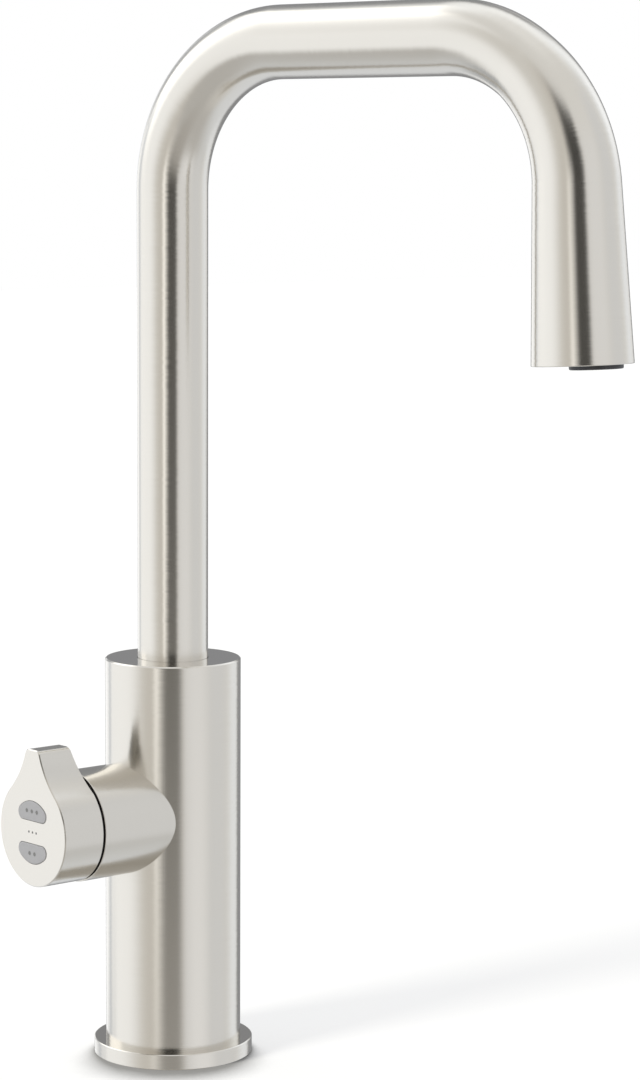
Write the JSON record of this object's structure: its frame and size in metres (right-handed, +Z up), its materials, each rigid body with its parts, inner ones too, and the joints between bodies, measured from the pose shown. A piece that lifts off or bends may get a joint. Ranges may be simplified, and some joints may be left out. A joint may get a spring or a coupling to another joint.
{
  "type": "boiling water tap",
  "caption": "Worktop tap with a swivelling swan-neck spout, flared outlet and a sprung side handle that carries two push buttons.",
  "frame": {"origin": "centre of the base flange's underside, on the worktop's surface, where the column's axis meets it", "axes": "+Z up the column's axis, -Y towards the sink, where the spout points when it is straight ahead, -X towards the handle; at rest the spout stands turned 9.35 degrees away from the handle, as pictured"},
  "size_m": [0.1109, 0.2258, 0.4869],
  "materials": {
    "satin_nickel": "brushed nickel plate",
    "bare_brass": "turned",
    "stainless_steel": "turned",
    "black_plastic": "moulded, fine matt",
    "black_rubber": "moulded",
    "white_ptfe": "turned",
    "copper_pipe": "drawn",
    "circuit_board": "solder mask",
    "silicone_tube": "extruded",
    "button_metal": "satin grey"
  },
  "bodies": {
    "body": {"base_flange": "satin_nickel", "base_seal": "black_rubber", "body_column": "satin_nickel", "shank": "bare_brass", "rubber_washer": "black_rubber", "clamp_washer": "stainless_steel", "clamp_nut": "bare_brass", "clamp_screws": "stainless_steel", "hose_guide": "black_plastic", "boiling_pipe": "copper_pipe", "chilled_pipe": "copper_pipe", "inlet_manifold": "bare_brass", "manifold_screws": "stainless_steel", "thrust_washer": "white_ptfe", "lower_bush": "black_plastic", "upper_bush": "black_plastic", "spout_lock_screw": "stainless_steel", "encoder_housing": "black_plastic", "sensor_board": "circuit_board", "return_spring": "stainless_steel", "retaining_ring": "bare_brass", "bearing_ring": "black_plastic"},
    "swivel_spout": {"spout": "satin_nickel", "spout_spigot": "bare_brass", "spigot_o_rings": "black_rubber", "boiling_tube": "silicone_tube", "chilled_tube": "silicone_tube", "outlet_insert": "black_plastic", "outlet_nozzle": "black_plastic", "nozzle_o_ring": "black_rubber", "flow_straightener": "black_plastic"},
    "turning_handle": {"handle_shell": "satin_nickel", "handle_hub": "stainless_steel", "handle_o_ring": "black_rubber", "handle_grub_screw": "stainless_steel", "sensor_magnet": "stainless_steel", "board_carrier": "black_plastic", "control_board": "circuit_board", "push_switches": "black_plastic", "board_screws": "stainless_steel"},
    "select_key": {"select_button": "button_metal"},
    "safety_key": {"safety_button": "button_metal"}
  },
  "joints": [
    {"name": "spout_swivel", "type": "hinge", "parent": "body", "child": "swivel_spout", "pos_m": [0, 0, 0.134], "axis": [0, 0, 1], "range_deg": [-99.35, 80.65]},
    {"name": "handle_turn", "type": "hinge", "parent": "body", "child": "turning_handle", "pos_m": [-0.047, 0, 0.0907], "axis": [1, 0, 0], "range_deg": [0, 60], "stiffness_Nm_per_rad": 0.08, "springref_deg": -28.65},
    {"name": "select_press", "type": "slide", "parent": "turning_handle", "child": "select_key", "axis": [1, 0, 0], "range_m": [0, 0.0006], "stiffness_N_per_m": 400, "springref_m": -0.002},
    {"name": "safety_press", "type": "slide", "parent": "turning_handle", "child": "safety_key", "axis": [1, 0, 0], "range_m": [0, 0.0006], "stiffness_N_per_m": 400, "springref_m": -0.002}
  ]
}
